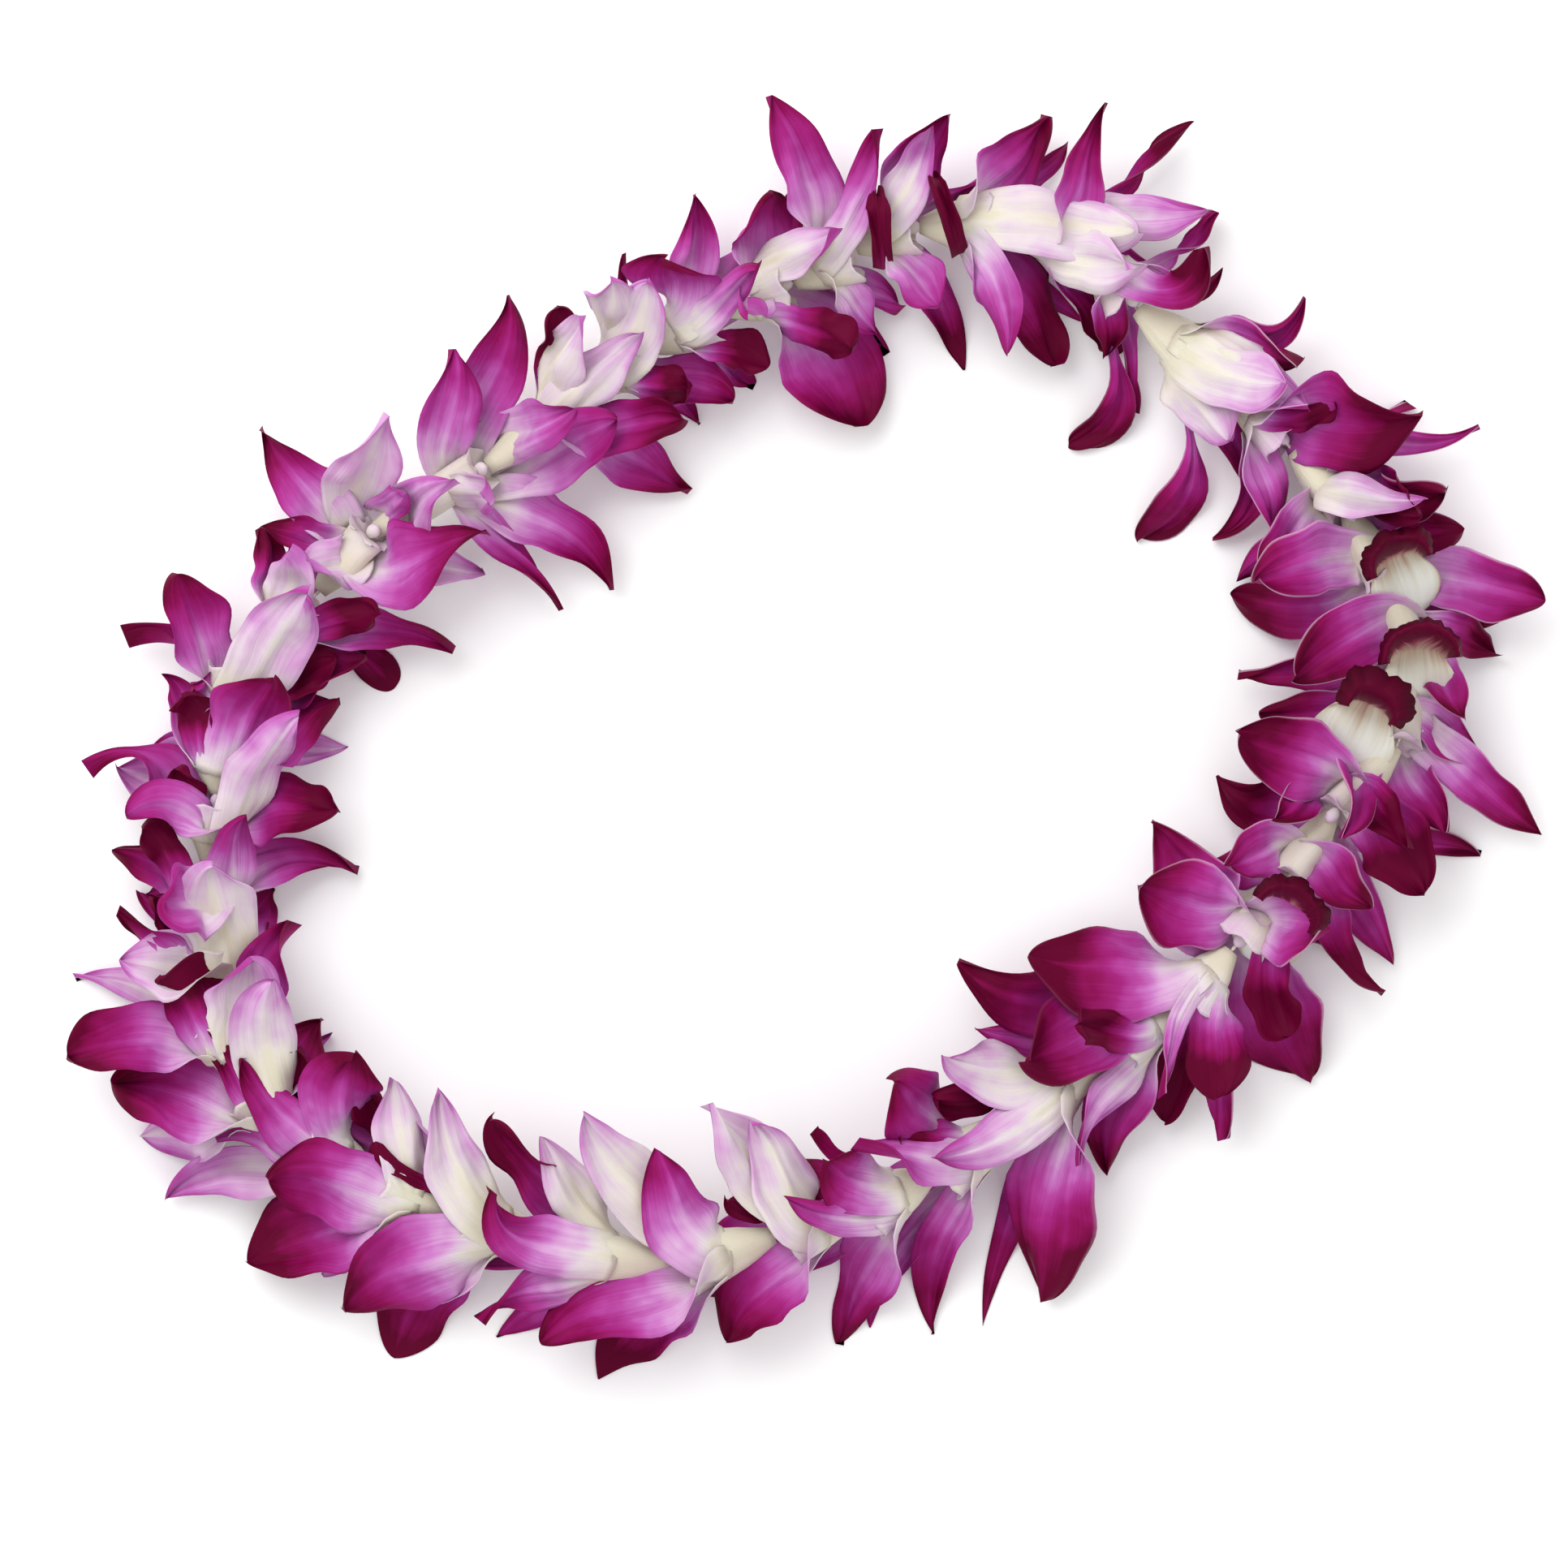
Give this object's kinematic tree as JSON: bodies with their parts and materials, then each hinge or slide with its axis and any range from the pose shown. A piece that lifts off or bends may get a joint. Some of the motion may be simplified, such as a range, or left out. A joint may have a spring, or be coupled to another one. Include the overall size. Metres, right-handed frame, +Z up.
{
  "type": "fresh flower lei",
  "caption": "Closed garland of fresh purple and white orchid blooms strung base into mouth on one thread, lying flat in a loose oval loop.",
  "frame": {"origin": "middle of the whole lei's bounding box, on the surface it lies on", "axes": "+Z up from the surface, +X along the loop's longer side, +Y towards the top of the picture"},
  "size_m": [0.4361, 0.3796, 0.0485],
  "materials": {
    "petals": "satin",
    "thread": "matte"
  },
  "bodies": {
    "root": {"bloom_01": "petals", "bloom_02": "petals", "bloom_03": "petals", "bloom_04": "petals", "bloom_05": "petals", "bloom_06": "petals", "bloom_07": "petals", "bloom_08": "petals", "bloom_09": "petals", "bloom_10": "petals", "bloom_11": "petals", "bloom_12": "petals", "bloom_13": "petals", "bloom_14": "petals", "bloom_15": "petals", "bloom_16": "petals", "bloom_17": "petals", "bloom_18": "petals", "bloom_19": "petals", "bloom_20": "petals", "bloom_21": "petals", "bloom_22": "petals", "bloom_23": "petals", "bloom_24": "petals", "bloom_25": "petals", "bloom_26": "petals", "bloom_27": "petals", "bloom_28": "petals", "bloom_29": "petals", "bloom_30": "petals", "bloom_31": "petals", "bloom_32": "petals", "bloom_33": "petals", "bloom_34": "petals", "bloom_35": "petals", "bloom_36": "petals", "bloom_37": "petals", "bloom_38": "petals", "bloom_39": "petals", "thread": "thread"}
  },
  "joints": []
}
